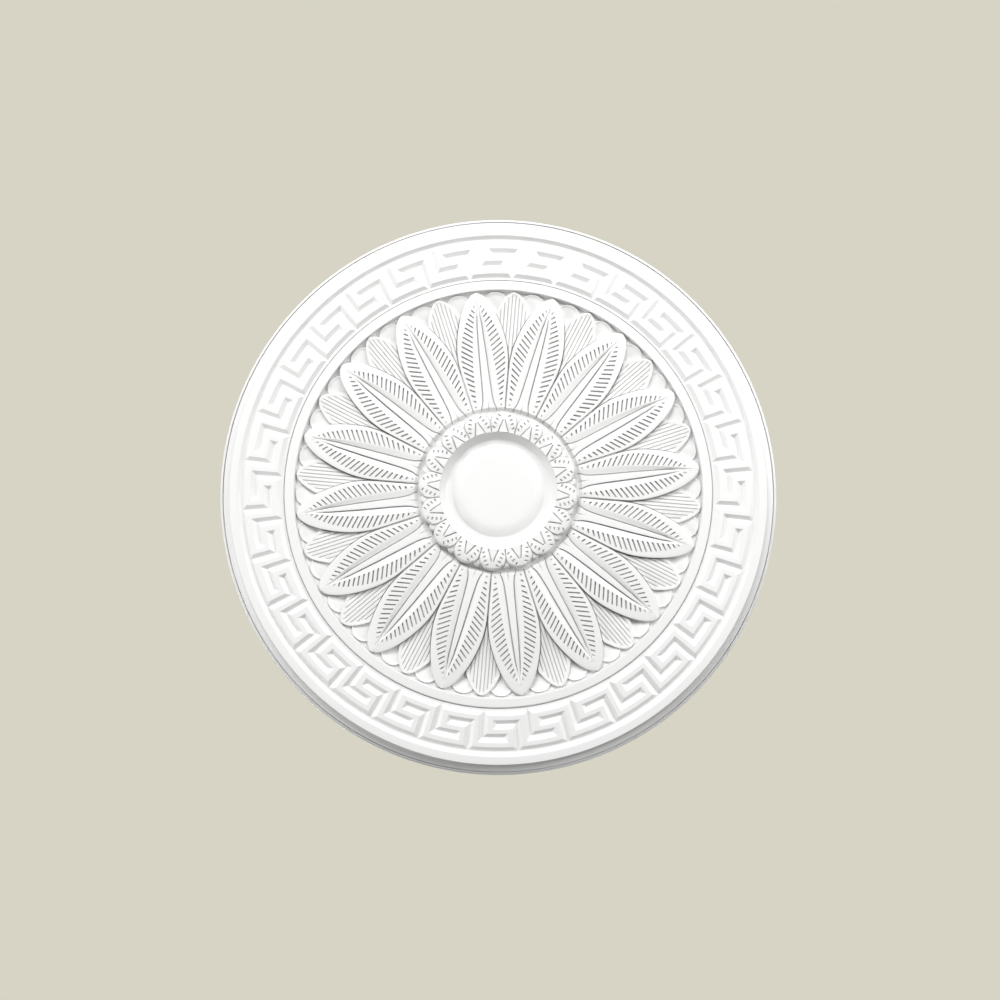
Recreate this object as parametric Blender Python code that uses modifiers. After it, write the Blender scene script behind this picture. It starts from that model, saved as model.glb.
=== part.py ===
"""Ceiling rose: a round moulded ornament that is glued up to a ceiling.

The flat back lies in the plane z = 0 and faces up, with the origin at its centre. The ornament
faces down, so every depth below is a drop under the ceiling, measured towards -Z.
From the outside in, the face has a stepped edge with a hollow, a flat rim, a Greek key band,
a plain ring, a dish filled with three rows of petals, a ring of small leaves and a round boss.
"""

import math

import bmesh
import bpy

MM = 0.001

# Outer edge, hollow and rim, all turned. The widths follow each other from the outside in, and
# the heights from the ceiling down.
ROSE_RADIUS = 300.0 * MM
EDGE_DROP = 11.0 * MM
EDGE_ROUND = 1.5 * MM
FILLET_WIDTH = 4.0 * MM
STEP_WIDTH = 1.0 * MM
STEP_HEIGHT = 2.0 * MM
HOLLOW_WIDTH = 11.5 * MM
RIM_WIDTH = 8.4 * MM
RIM_WALL = 2.7 * MM
RIM_DROP = 26.0 * MM
RIM_LIP = 1.0 * MM
STEP_RADIUS = ROSE_RADIUS - FILLET_WIDTH
STEP_DROP = EDGE_DROP + STEP_HEIGHT
HOLLOW_OUT = STEP_RADIUS - STEP_WIDTH
RIM_OUT = HOLLOW_OUT - HOLLOW_WIDTH
RIM_IN = RIM_OUT - RIM_WIDTH

# Greek key band: 32 units, each with two L-shaped trenches cut between bars of one width.
# The band lies a little above the rim, and its grooves and trenches share one floor.
KEY_UNITS = 32
KEY_START = math.radians(2.1)
KEY_BELOW_RIM = 0.4 * MM
GROOVE_DEPTH = 3.2 * MM
BAR_WIDTH = 4.7 * MM
TRENCH_WIDTH = 9.1 * MM
TRENCH_FLOOR = 1.1 * MM
TRENCH_RISE = 0.2 * MM
ARM_END_BAR = 5.9 * MM
OUTER_GROOVE_FLOOR = 2.0 * MM
OUTER_GROOVE_WALL = 4.4 * MM
INNER_GROOVE_WALL = 3.7 * MM
INNER_GROOVE_FLOOR = 3.1 * MM
GROOVE_OUT = RIM_IN - RIM_WALL
KEY_DROP = RIM_DROP - KEY_BELOW_RIM
GROOVE_DROP = KEY_DROP - GROOVE_DEPTH
KEY_OUT = GROOVE_OUT - OUTER_GROOVE_FLOOR - OUTER_GROOVE_WALL
KEY_IN = KEY_OUT - 3 * BAR_WIDTH - 2 * TRENCH_WIDTH
KEY_MIDDLE = (KEY_OUT + KEY_IN) / 2

# Plain ring inside the key band, and the dish that the petals lie in, with its raised core.
RING_RISE = 1.6 * MM
RING_STEP = 1.4 * MM
RING_WIDTH = 9.2 * MM
DISH_DEPTH = 9.0 * MM
DISH_WALL = 0.6 * MM
CORE_WIDTH = 42.4 * MM
CORE_SLOPE = 9.0 * MM
CORE_HEIGHT = 6.2 * MM
RING_DROP = GROOVE_DROP + RING_RISE
RING_OUT = KEY_IN - INNER_GROOVE_WALL - INNER_GROOVE_FLOOR - RING_STEP
DISH_RADIUS = RING_OUT - RING_WIDTH
DISH_DROP = RING_DROP - DISH_DEPTH
CORE_DROP = DISH_DROP + CORE_HEIGHT

# Hub: the round boss, the hollow round it, the ring of small leaves and the well that it all
# stands in. The widths follow each other from the boss outwards.
BOSS_FACE = 37.0 * MM
BOSS_CORNER = 6.0 * MM
BOSS_SIDE = 6.0 * MM
BOSS_LEDGE = 5.8 * MM
HOLLOW_SIDE = 7.0 * MM
LEAF_INNER_SLOPE = 10.2 * MM
LEAF_OUTER_SLOPE = 12.2 * MM
HUB_SIDE = 0.4 * MM
WELL_GAP = 0.8 * MM
WELL_SLOPE = 3.2 * MM
WELL_DEPTH = 0.7 * MM
LEAF_TOP_DROP = 33.0 * MM
LEAF_OUTER_FALL = 4.5 * MM
LEAF_INNER_FALL = 1.5 * MM
HOLLOW_DEPTH = 9.5 * MM
BOSS_SIDE_RISE = 2.4 * MM
BOSS_CORNER_RISE = 1.6 * MM
BOSS_SHOULDER = BOSS_FACE + BOSS_CORNER
BOSS_FOOT = BOSS_SHOULDER + BOSS_SIDE
HOLLOW_FOOT = BOSS_FOOT + BOSS_LEDGE
LEAF_IN = HOLLOW_FOOT + HOLLOW_SIDE
LEAF_TOP = LEAF_IN + LEAF_INNER_SLOPE
LEAF_OUT = LEAF_TOP + LEAF_OUTER_SLOPE
HUB_FOOT = LEAF_OUT + HUB_SIDE
WELL_FOOT = HUB_FOOT + WELL_GAP
WELL_RADIUS = WELL_FOOT + WELL_SLOPE
WELL_DROP = CORE_DROP - WELL_DEPTH
CORE_RADIUS = WELL_RADIUS + CORE_WIDTH
LEAF_OUT_DROP = LEAF_TOP_DROP - LEAF_OUTER_FALL
LEAF_IN_DROP = LEAF_TOP_DROP - LEAF_INNER_FALL
BOSS_LEDGE_DROP = LEAF_IN_DROP - HOLLOW_DEPTH
BOSS_SHOULDER_DROP = BOSS_LEDGE_DROP + BOSS_SIDE_RISE
BOSS_DROP = BOSS_SHOULDER_DROP + BOSS_CORNER_RISE

# Leaves: the V cuts between them and the wedge-shaped rib on each.
LEAVES = 16
LEAF_CUT_IN = 0.95 * MM
LEAF_CUT_OUT = 5.6 * MM
LEAF_CUT_DEPTH = 1.8 * MM
LEAF_CUT_STOP = 1.0 * MM
LEAF_RIB_START = 1.0 * MM
LEAF_RIB_LENGTH = 12.2 * MM
LEAF_RIB_HALF_WIDTH = 4.4 * MM
LEAF_RIB_TIP_HALF_WIDTH = 0.5 * MM
LEAF_RIB_RISE = 1.3 * MM

# Petals: the front row, and the row behind it turned by half a pitch. Both start inside the well
# and end just short of the dish's wall.
PETALS = 16
PETAL_START_IN_WELL = 6.6 * MM
PETAL_TIP_GAP = 1.7 * MM
PETAL_POINT_LENGTH = 64.6 * MM
PETAL_HALF_WIDTH = 26.7 * MM
PETAL_GAP = 0.8 * MM
PETAL_FOOT_RISE = 4.0 * MM
PETAL_TIP_RISE = 8.0 * MM
PETAL_CROWN = 1.5 * MM
PETAL_EDGE_FALL = 1.8 * MM
PANEL_HALF_WIDTH = 12.4 * MM
PANEL_TIP_HALF_WIDTH = 1.5 * MM
PANEL_MARGIN = 1.0 * MM
CHANNEL_DEPTH = 1.7 * MM
RIB_FOOT_HALF_WIDTH = 6.3 * MM
RIB_TIP_HALF_WIDTH = 0.5 * MM
RIB_FALL = 0.2 * MM
RIB_END_FROM_TIP = 16.6 * MM
TIP_FLAT = 3.0 * MM
TIP_POWER = 1.6
TIP_ROUNDING = 0.55
PANEL_POWER = 2.6
STATION_POWER = 1.5
BACK_PETAL_LENGTH = 92.6 * MM
BACK_PETAL_FOOT_RISE = 2.2 * MM
BACK_PETAL_TIP_RISE = 7.6 * MM
BACK_PETAL_DIP = 2.8 * MM
BACK_PETAL_DIP_POWER = 1.6
BACK_PETAL_EDGE_FALL = 1.2 * MM
PETAL_START = WELL_RADIUS - PETAL_START_IN_WELL
PETAL_TIP = DISH_RADIUS - PETAL_TIP_GAP
PETAL_WIDEST = PETAL_TIP - PETAL_POINT_LENGTH
RIB_END = PETAL_TIP - RIB_END_FROM_TIP
PETAL_FOOT_DROP = CORE_DROP + PETAL_FOOT_RISE
PETAL_TIP_DROP = DISH_DROP + PETAL_TIP_RISE
BACK_PETAL_START = PETAL_TIP - BACK_PETAL_LENGTH
BACK_PETAL_FOOT_DROP = CORE_DROP + BACK_PETAL_FOOT_RISE
BACK_PETAL_TIP_DROP = DISH_DROP + BACK_PETAL_TIP_RISE

# Small smooth tips that show between the petals at the outside of the dish.
TIP_END_GAP = 1.3 * MM
TIP_POINT_LENGTH = 11.5 * MM
TIP_LENGTH = 29.0 * MM
TIP_HALF_WIDTH = 15.0 * MM
TIP_START_HALF_WIDTH = 12.0 * MM
TIP_START_RISE = 2.5 * MM
TIP_END_RISE = 6.0 * MM
TIP_CROWN = 0.8 * MM
TIP_END = DISH_RADIUS - TIP_END_GAP
TIP_BEND = TIP_END - TIP_POINT_LENGTH
TIP_START = TIP_END - TIP_LENGTH
TIP_START_DROP = DISH_DROP + TIP_START_RISE
TIP_END_DROP = DISH_DROP + TIP_END_RISE

# How finely round things are divided, and how far joined shapes reach into each other. Each row
# of petals reaches to its own depth, so that no two undersides lie in one plane.
ROSE_SEGMENTS = 60
HUB_SEGMENTS = 36
ARC_STEPS = 3
PETAL_STATIONS = 6
BACK_PETAL_STATIONS = 3
SINK = 2.5 * MM
BACK_PETAL_SINK = 5.0 * MM
TIP_SINK = 1.25 * MM
CLEAR = 1.0 * MM
MERGE_DISTANCE = 0.05 * MM
SHARP_ANGLE = math.radians(25.0)
TURN = 2.0 * math.pi


def clear_scene():
    for old in list(bpy.data.objects):
        bpy.data.objects.remove(old, do_unlink=True)


def new_collection(name):
    collection = bpy.data.collections.new(name)
    bpy.context.scene.collection.children.link(collection)
    return collection


def polar(angle, radius, drop, across=0.0):
    """A point at this angle, radius and drop, moved sideways, at right angles to the radius."""
    return (
        radius * math.cos(angle) - across * math.sin(angle),
        radius * math.sin(angle) + across * math.cos(angle),
        -drop,
    )


def mix(a, b, share):
    return a + (b - a) * share


def turned(name, profile, steps, collection):
    """A turned solid: the profile of (radius, drop) points goes round the Z axis with a Screw."""
    mesh = bpy.data.meshes.new(name)
    points = [(radius, 0.0, -drop) for radius, drop in profile]
    mesh.from_pydata(points, [(i, i + 1) for i in range(len(points) - 1)], [])
    solid = bpy.data.objects.new(name, mesh)
    collection.objects.link(solid)
    screw = solid.modifiers.new("Turn", "SCREW")
    screw.axis = "Z"
    screw.angle = TURN
    screw.steps = steps
    screw.render_steps = steps
    screw.use_smooth_shade = True
    screw.use_merge_vertices = True
    screw.merge_threshold = MERGE_DISTANCE
    return solid


def lofted(name, bodies, collection):
    """Closed bodies in one mesh. Each is a list of sections, and each section a ring of points."""
    shape = bmesh.new()
    for sections in bodies:
        rings = [[shape.verts.new(point) for point in section] for section in sections]
        for low, high in zip(rings, rings[1:]):
            for i in range(len(low)):
                j = (i + 1) % len(low)
                shape.faces.new((low[i], low[j], high[j], high[i]))
        shape.faces.new(rings[0][::-1])
        shape.faces.new(rings[-1])
    bmesh.ops.recalc_face_normals(shape, faces=shape.faces)
    mesh = bpy.data.meshes.new(name)
    shape.to_mesh(mesh)
    shape.free()
    mesh.shade_smooth()
    mesh.set_sharp_from_angle(angle=SHARP_ANGLE)
    solid = bpy.data.objects.new(name, mesh)
    collection.objects.link(solid)
    return solid


def combine(target, tool, operation):
    """Joins the tool to the target, or cuts it out, and keeps the tool as a hidden helper."""
    tool.hide_render = True
    tool.display_type = "WIRE"
    boolean = target.modifiers.new(tool.name, "BOOLEAN")
    boolean.operation = operation
    boolean.solver = "EXACT"
    boolean.object = tool


def quarter_hollow():
    """The hollow under the rim: a quarter of an ellipse, steep at the rim and flat at the step."""
    points = []
    for i in range(ARC_STEPS + 1):
        turn = math.pi / 2 * i / ARC_STEPS
        radius = mix(HOLLOW_OUT, RIM_OUT, math.sin(turn))
        drop = mix(RIM_DROP - RIM_LIP, STEP_DROP, math.cos(turn))
        points.append((radius, drop))
    return points


def body_profile():
    """The turned body, from the middle of the back round the edge to the middle of the dish."""
    return [
        (0.0, 0.0),
        (ROSE_RADIUS, 0.0),
        (ROSE_RADIUS, EDGE_DROP - EDGE_ROUND),
        (ROSE_RADIUS - EDGE_ROUND, EDGE_DROP),
        (STEP_RADIUS, EDGE_DROP),
        (STEP_RADIUS, STEP_DROP),
        *quarter_hollow(),
        (RIM_OUT, RIM_DROP),
        (RIM_IN, RIM_DROP),
        (GROOVE_OUT, GROOVE_DROP),
        (GROOVE_OUT - OUTER_GROOVE_FLOOR, GROOVE_DROP),
        (KEY_OUT, KEY_DROP),
        (KEY_IN, KEY_DROP),
        (KEY_IN - INNER_GROOVE_WALL, GROOVE_DROP),
        (RING_OUT + RING_STEP, GROOVE_DROP),
        (RING_OUT, RING_DROP),
        (DISH_RADIUS, RING_DROP),
        (DISH_RADIUS - DISH_WALL, DISH_DROP),
        (CORE_RADIUS + CORE_SLOPE, DISH_DROP),
        (CORE_RADIUS, CORE_DROP),
        (0.0, CORE_DROP),
    ]


def trench_outline(start, wall_radius, centre, end, arm_radius, half_width):
    """An L in plan: a radial leg from wall_radius to the arm, then the arm from centre to end.

    Lengths along the band are measured on its middle circle and turned into angles.
    """
    outward = 1.0 if wall_radius > arm_radius else -1.0
    along = 1.0 if end > centre else -1.0
    corners = [
        (centre - along * half_width, wall_radius),
        (centre - along * half_width, arm_radius - outward * half_width),
        (end + along * half_width, arm_radius - outward * half_width),
        (end + along * half_width, arm_radius + outward * half_width),
        (centre + along * half_width, arm_radius + outward * half_width),
        (centre + along * half_width, wall_radius),
    ]
    return [(start + length / KEY_MIDDLE, radius) for length, radius in corners]


def key_trenches(collection):
    """Two trenches a unit: one in from the outer groove, one out from the inner groove."""
    pitch = TURN * KEY_MIDDLE / KEY_UNITS
    row = BAR_WIDTH + TRENCH_WIDTH
    first_arm = KEY_OUT - BAR_WIDTH - TRENCH_WIDTH / 2
    second_arm = first_arm - row
    half = TRENCH_WIDTH / 2
    outer_end = pitch - row - half - ARM_END_BAR - half
    inner_end = half + BAR_WIDTH + half
    outer_void = GROOVE_OUT - OUTER_GROOVE_FLOOR / 2
    inner_void = KEY_IN - INNER_GROOVE_WALL - INNER_GROOVE_FLOOR / 2
    floor_drop = GROOVE_DROP + TRENCH_RISE
    slope = (TRENCH_WIDTH - TRENCH_FLOOR) / 2 / (KEY_DROP - floor_drop)
    open_half = half + slope * CLEAR
    bodies = []
    for unit in range(KEY_UNITS):
        start = KEY_START + TURN * unit / KEY_UNITS
        legs = (
            (outer_void, 0.0, outer_end, second_arm),
            (inner_void, pitch - row, inner_end, first_arm),
        )
        for void, centre, end, arm in legs:
            levels = ((TRENCH_FLOOR / 2, floor_drop), (open_half, KEY_DROP + CLEAR))
            bodies.append([
                [polar(angle, radius, drop)
                 for angle, radius in trench_outline(start, void, centre, end, arm, width)]
                for width, drop in levels
            ])
    return lofted("key_trenches", bodies, collection)


def petal_half_width(radius):
    """Half the width of a petal: up to its neighbours inside, a rounded point at the tip."""
    share = max(0.0, min((radius - PETAL_WIDEST) / (PETAL_TIP - PETAL_WIDEST), 1.0))
    outline = PETAL_HALF_WIDTH * (1.0 - share ** TIP_POWER) ** TIP_ROUNDING
    half_pitch = radius * math.pi / PETALS
    return max(min(outline, half_pitch - PETAL_GAP / 2), TIP_FLAT)


def petal_stations(start, count):
    """Radii of the cross-sections, closer together towards the rounded tip."""
    shares = [1.0 - (1.0 - i / count) ** STATION_POWER for i in range(count + 1)]
    return [mix(start, PETAL_TIP, share) for share in shares]


def front_petal(angle):
    """One petal of the front row: a raised edge, a sunk panel and a rib along the middle."""
    sections = []
    for radius in petal_stations(PETAL_START, PETAL_STATIONS):
        share = (radius - PETAL_START) / (PETAL_TIP - PETAL_START)
        bulge = math.sin(math.pi * share)
        edge = petal_half_width(radius)
        panel = max(PANEL_HALF_WIDTH * (1.0 - share ** PANEL_POWER), PANEL_TIP_HALF_WIDTH)
        panel = min(panel, edge - PANEL_MARGIN)
        rib_share = min((radius - PETAL_START) / (RIB_END - PETAL_START), 1.0)
        rib = mix(RIB_FOOT_HALF_WIDTH, RIB_TIP_HALF_WIDTH, rib_share)
        crest = mix(PETAL_FOOT_DROP, PETAL_TIP_DROP, share) + PETAL_CROWN * bulge
        channel = crest - CHANNEL_DEPTH * math.sqrt(bulge)
        middle = crest - RIB_FALL * bulge
        low = crest - PETAL_EDGE_FALL
        foot = DISH_DROP - SINK
        across = (
            (-edge, foot), (-edge, low), (-panel, crest), (-rib, channel), (0.0, middle),
            (rib, channel), (panel, crest), (edge, low), (edge, foot),
        )
        sections.append([polar(angle, radius, drop, side) for side, drop in across])
    return sections


def back_petal(angle):
    """One petal of the row behind: the same outline, lower, ridged and dipping in the middle."""
    sections = []
    for radius in petal_stations(BACK_PETAL_START, BACK_PETAL_STATIONS):
        share = (radius - BACK_PETAL_START) / (PETAL_TIP - BACK_PETAL_START)
        dip = math.sin(math.pi * share ** BACK_PETAL_DIP_POWER)
        ridge = mix(BACK_PETAL_FOOT_DROP, BACK_PETAL_TIP_DROP, share) - BACK_PETAL_DIP * dip
        edge = petal_half_width(radius)
        low = ridge - BACK_PETAL_EDGE_FALL
        foot = DISH_DROP - BACK_PETAL_SINK
        across = ((-edge, foot), (-edge, low), (0.0, ridge), (edge, low), (edge, foot))
        sections.append([polar(angle, radius, drop, side) for side, drop in across])
    return sections


def outer_tip(angle):
    """A small smooth tip of the row furthest back: pointed in plan, thicker at the outside."""
    outline = (
        (-TIP_START_HALF_WIDTH, TIP_START), (-TIP_HALF_WIDTH, TIP_BEND), (0.0, TIP_END),
        (TIP_HALF_WIDTH, TIP_BEND), (TIP_START_HALF_WIDTH, TIP_START),
    )
    foot = [polar(angle, radius, DISH_DROP - TIP_SINK, side) for side, radius in outline]
    face = []
    for side, radius in outline:
        drop = mix(TIP_START_DROP, TIP_END_DROP, (radius - TIP_START) / TIP_LENGTH)
        drop -= TIP_CROWN * abs(side) / TIP_HALF_WIDTH
        face.append(polar(angle, radius, drop, side))
    return [foot, face]


def hub_profile():
    """The turned hub: it starts inside the body and carries the leaf ring and the boss."""
    return [
        (0.0, WELL_DROP - SINK),
        (HUB_FOOT, WELL_DROP - SINK),
        (LEAF_OUT, LEAF_OUT_DROP),
        (LEAF_TOP, LEAF_TOP_DROP),
        (LEAF_IN, LEAF_IN_DROP),
        (HOLLOW_FOOT, BOSS_LEDGE_DROP),
        (BOSS_FOOT, BOSS_LEDGE_DROP),
        (BOSS_SHOULDER, BOSS_SHOULDER_DROP),
        (BOSS_FACE, BOSS_DROP),
        (0.0, BOSS_DROP),
    ]


def leaf_surface(radius):
    """Drop of the leaf ring's face at this radius."""
    if radius > LEAF_TOP:
        return mix(LEAF_TOP_DROP, LEAF_OUT_DROP, (radius - LEAF_TOP) / (LEAF_OUT - LEAF_TOP))
    return mix(LEAF_IN_DROP, LEAF_TOP_DROP, (radius - LEAF_IN) / (LEAF_TOP - LEAF_IN))


def leaf_gap(angle):
    """The V cut between two leaves, which widens and deepens to the ring's scalloped edge."""
    ends = (
        (LEAF_IN - CLEAR, LEAF_CUT_IN, LEAF_CUT_DEPTH),
        (LEAF_TOP, LEAF_CUT_IN, LEAF_CUT_DEPTH),
        (HUB_FOOT + CLEAR, LEAF_CUT_OUT, LEAF_OUT_DROP - WELL_DROP - LEAF_CUT_STOP),
    )
    sections = []
    for radius, half_width, depth in ends:
        face = leaf_surface(radius)
        top_half_width = half_width * (depth + CLEAR) / depth
        sections.append([
            polar(angle, radius, face - depth),
            polar(angle, radius, face + CLEAR, -top_half_width),
            polar(angle, radius, face + CLEAR, top_half_width),
        ])
    return sections


def leaf_rib(angle):
    """The raised wedge in the middle of a leaf: wide at the inner edge, a point further out."""
    start = LEAF_IN + LEAF_RIB_START
    ends = ((start, LEAF_RIB_HALF_WIDTH), (start + LEAF_RIB_LENGTH, LEAF_RIB_TIP_HALF_WIDTH))
    sections = []
    for radius, half_width in ends:
        face = leaf_surface(radius)
        rise = LEAF_RIB_RISE * half_width / LEAF_RIB_HALF_WIDTH
        sections.append([
            polar(angle, radius, face - CLEAR, -half_width),
            polar(angle, radius, face + rise, 0.0),
            polar(angle, radius, face - CLEAR, half_width),
        ])
    return sections


def hub_well(collection):
    """The well that is cut through the petals' inner ends: it slopes in to the hub's foot."""
    below = LEAF_TOP_DROP + CLEAR
    share = (below - WELL_DROP) / (PETAL_FOOT_DROP - WELL_DROP)
    mouth = mix(WELL_FOOT, WELL_RADIUS, share)
    profile = [(0.0, WELL_DROP), (WELL_FOOT, WELL_DROP), (mouth, below), (0.0, below)]
    return turned("hub_well", profile, ROSE_SEGMENTS, collection)


def around(count, turn_share, make):
    """The bodies that make() gives at count even angles, turned by a share of their pitch."""
    pitch = TURN / count
    return [make((i + turn_share) * pitch) for i in range(count)]


def white_plastic():
    material = bpy.data.materials.new("white moulded foam plastic")
    material.use_nodes = True
    shader = material.node_tree.nodes["Principled BSDF"]
    shader.inputs["Base Color"].default_value = (0.88, 0.88, 0.87, 1.0)
    shader.inputs["Roughness"].default_value = 0.55
    shader.inputs["Metallic"].default_value = 0.0
    return material


def build_rose(parts, tools):
    rose = turned("ceiling_rose", body_profile(), ROSE_SEGMENTS, parts)
    rose.data.materials.append(white_plastic())
    combine(rose, lofted("outer_tips", around(2 * PETALS, 0.5, outer_tip), tools), "UNION")
    combine(rose, lofted("back_petals", around(PETALS, 0.5, back_petal), tools), "UNION")
    combine(rose, lofted("front_petals", around(PETALS, 0.0, front_petal), tools), "UNION")
    combine(rose, hub_well(tools), "DIFFERENCE")
    hub = turned("hub", hub_profile(), HUB_SEGMENTS, tools)
    combine(hub, lofted("leaf_gaps", around(LEAVES, 0.0, leaf_gap), tools), "DIFFERENCE")
    combine(hub, lofted("leaf_ribs", around(LEAVES, 0.5, leaf_rib), tools), "UNION")
    combine(rose, hub, "UNION")
    combine(rose, key_trenches(tools), "DIFFERENCE")


def main():
    clear_scene()
    parts = new_collection("ceiling rose")
    tools = new_collection("carving tools")
    build_rose(parts, tools)


main()
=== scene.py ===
import math

import bpy
import numpy as np
from mathutils import Matrix, Vector


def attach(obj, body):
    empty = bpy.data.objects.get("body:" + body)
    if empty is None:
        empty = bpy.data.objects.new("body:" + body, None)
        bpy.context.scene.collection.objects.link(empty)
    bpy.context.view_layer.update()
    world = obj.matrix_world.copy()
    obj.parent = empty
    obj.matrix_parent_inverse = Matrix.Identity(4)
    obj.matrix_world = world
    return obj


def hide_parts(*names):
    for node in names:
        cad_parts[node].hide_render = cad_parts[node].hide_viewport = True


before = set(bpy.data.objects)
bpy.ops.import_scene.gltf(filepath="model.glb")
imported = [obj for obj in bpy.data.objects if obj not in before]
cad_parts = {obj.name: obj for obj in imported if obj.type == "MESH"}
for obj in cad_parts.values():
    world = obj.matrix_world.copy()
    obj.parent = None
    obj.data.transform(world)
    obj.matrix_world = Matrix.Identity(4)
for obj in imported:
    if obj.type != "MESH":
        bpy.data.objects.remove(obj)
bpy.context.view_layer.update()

# The body of the rose: the flat back, the stepped edge with its hollow, the flat rim, the Greek
# key band, the plain ring and the dish that the petals lie in.
# All of it is one piece of rigid polyurethane foam, cast in a silicone mould and primed white.
MM = 0.001
TURN = 2 * math.pi
DOWN = -MM  # the face looks down, so a drop of so many millimetres is measured towards -Z

# Radii from the edge inwards.
outer_radius = 300.0
fillet_radius = 299.0
bead_radius = 296.6
edge_quirk = (295.5, 294.8)  # a quirk is a narrow groove beside a moulding
hollow_radius = 294.5
rim_outer = 283.5
rim_inner = 275.1
band_outer = 272.4
ring_quirk = (227.3, 226.8)
band_inner = 226.5
ring_outer = 225.5
ring_inner = 216.3
dish_wall_foot = 215.7
dish_outer = 200.0
dish_inner = 140.0
bed_outer = 131.0
well_radius = 86.4
well_wall = 0.6
under_hub_radius = 80.0
quirk_wall = 0.3
bead_wall = 0.2

# Drops below the ceiling.
fillet_drop = 11.0
bead_drop = 13.2
edge_quirk_drop = 11.4
hollow_drop = 13.0
rim_drop = 26.0
rim_lip = 1.0
key_drop = 25.6
key_floor_drop = 22.4
ring_quirk_drop = 21.2
ring_drop = 24.0
dish_wall_drop = 18.0
dish_drop = 15.0
bed_drop = 21.2
well_drop = 20.5

# The key band: a strip cut by two L-shaped trenches in each unit, with a groove on both sides.
key_units = 32
key_start = math.radians(2.1)
key_out = 266.0
key_in = 233.7
key_middle = (key_out + key_in) / 2
key_pitch = TURN * key_middle / key_units
bar = 4.7
trench = 9.1
half_trench = trench / 2
trench_wall = 4.0
arm_end_bar = 5.9
outer_groove_wall = 4.4
inner_groove_wall = 3.7
arm_end = key_pitch - 3 * half_trench - arm_end_bar - bar
second_middle = key_pitch - bar - trench
fret_low = key_in + bar
fret_high = key_out - bar
past_band = 60.0

# Spokes and rings of points. A wall has a row wherever its soft bends start, turn and end.
# A four-sided face stays whole where its corners are level within the last value.
soft_bend = 0.1
wall_shares = (-soft_bend, 0, soft_bend, 0.5, 1 - soft_bend, 1, 1 + soft_bend)
spoke_step = 4  # a plain ring has one spoke in this many
fine_outer = 278.5
fine_inner = 222.5
ring_change = 1.5
back_ring = 200.0
groove_margin = 1.2
quirk_margin = 0.8
hollow_steps = 10
level_within = 0.0001


def rounded(corners):
    """A run of (radius, drop, rounding) corners, each bent into three points where it is rounded."""
    most = 0.45
    points = []
    for i, (radius, drop, bend) in enumerate(corners):
        if bend == 0:
            points.append((radius, drop))
            continue
        here = np.array((radius, drop))
        before = np.array(corners[i - 1][:2]) - here
        after = np.array(corners[i + 1][:2]) - here
        start = here + before * min(bend / np.linalg.norm(before), most)
        end = here + after * min(bend / np.linalg.norm(after), most)
        points += [tuple(start), tuple((start + 2 * here + end) / 4), tuple(end)]
    return points


def eased(share):
    """A ramp that is flat up to 0 and rises from there, with a soft bend where it starts."""
    bend = (share + soft_bend) ** 2 / (4 * soft_bend)
    return np.where(share <= -soft_bend, 0.0, np.where(share >= soft_bend, share, bend))


def key_surface(radius, along):
    """Drop of the key band. Its trenches are V cuts whose walls meet in mitres at every corner."""
    trenches = (
        (-half_trench, half_trench, fret_low, key_out + past_band),
        (-half_trench, arm_end, fret_low, fret_low + trench),
        (second_middle - half_trench, second_middle + half_trench, key_in - past_band, fret_high),
        (half_trench + bar, second_middle + half_trench, fret_high - trench, fret_high),
    )
    share = np.maximum((radius - key_out) / outer_groove_wall, (key_in - radius) / inner_groove_wall)
    for left, right, low, high in trenches:
        inside = np.minimum.reduce([along - left, right - along, radius - low, high - radius])
        share = np.maximum(share, inside / trench_wall)
    return key_drop - (key_drop - key_floor_drop) * (eased(share) - eased(share - 1))


def wall_rows(walls):
    """Places of the rows across each wall, which is given as the place of its top and its run."""
    return [top + run * share for top, run in walls for share in wall_shares]


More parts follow.
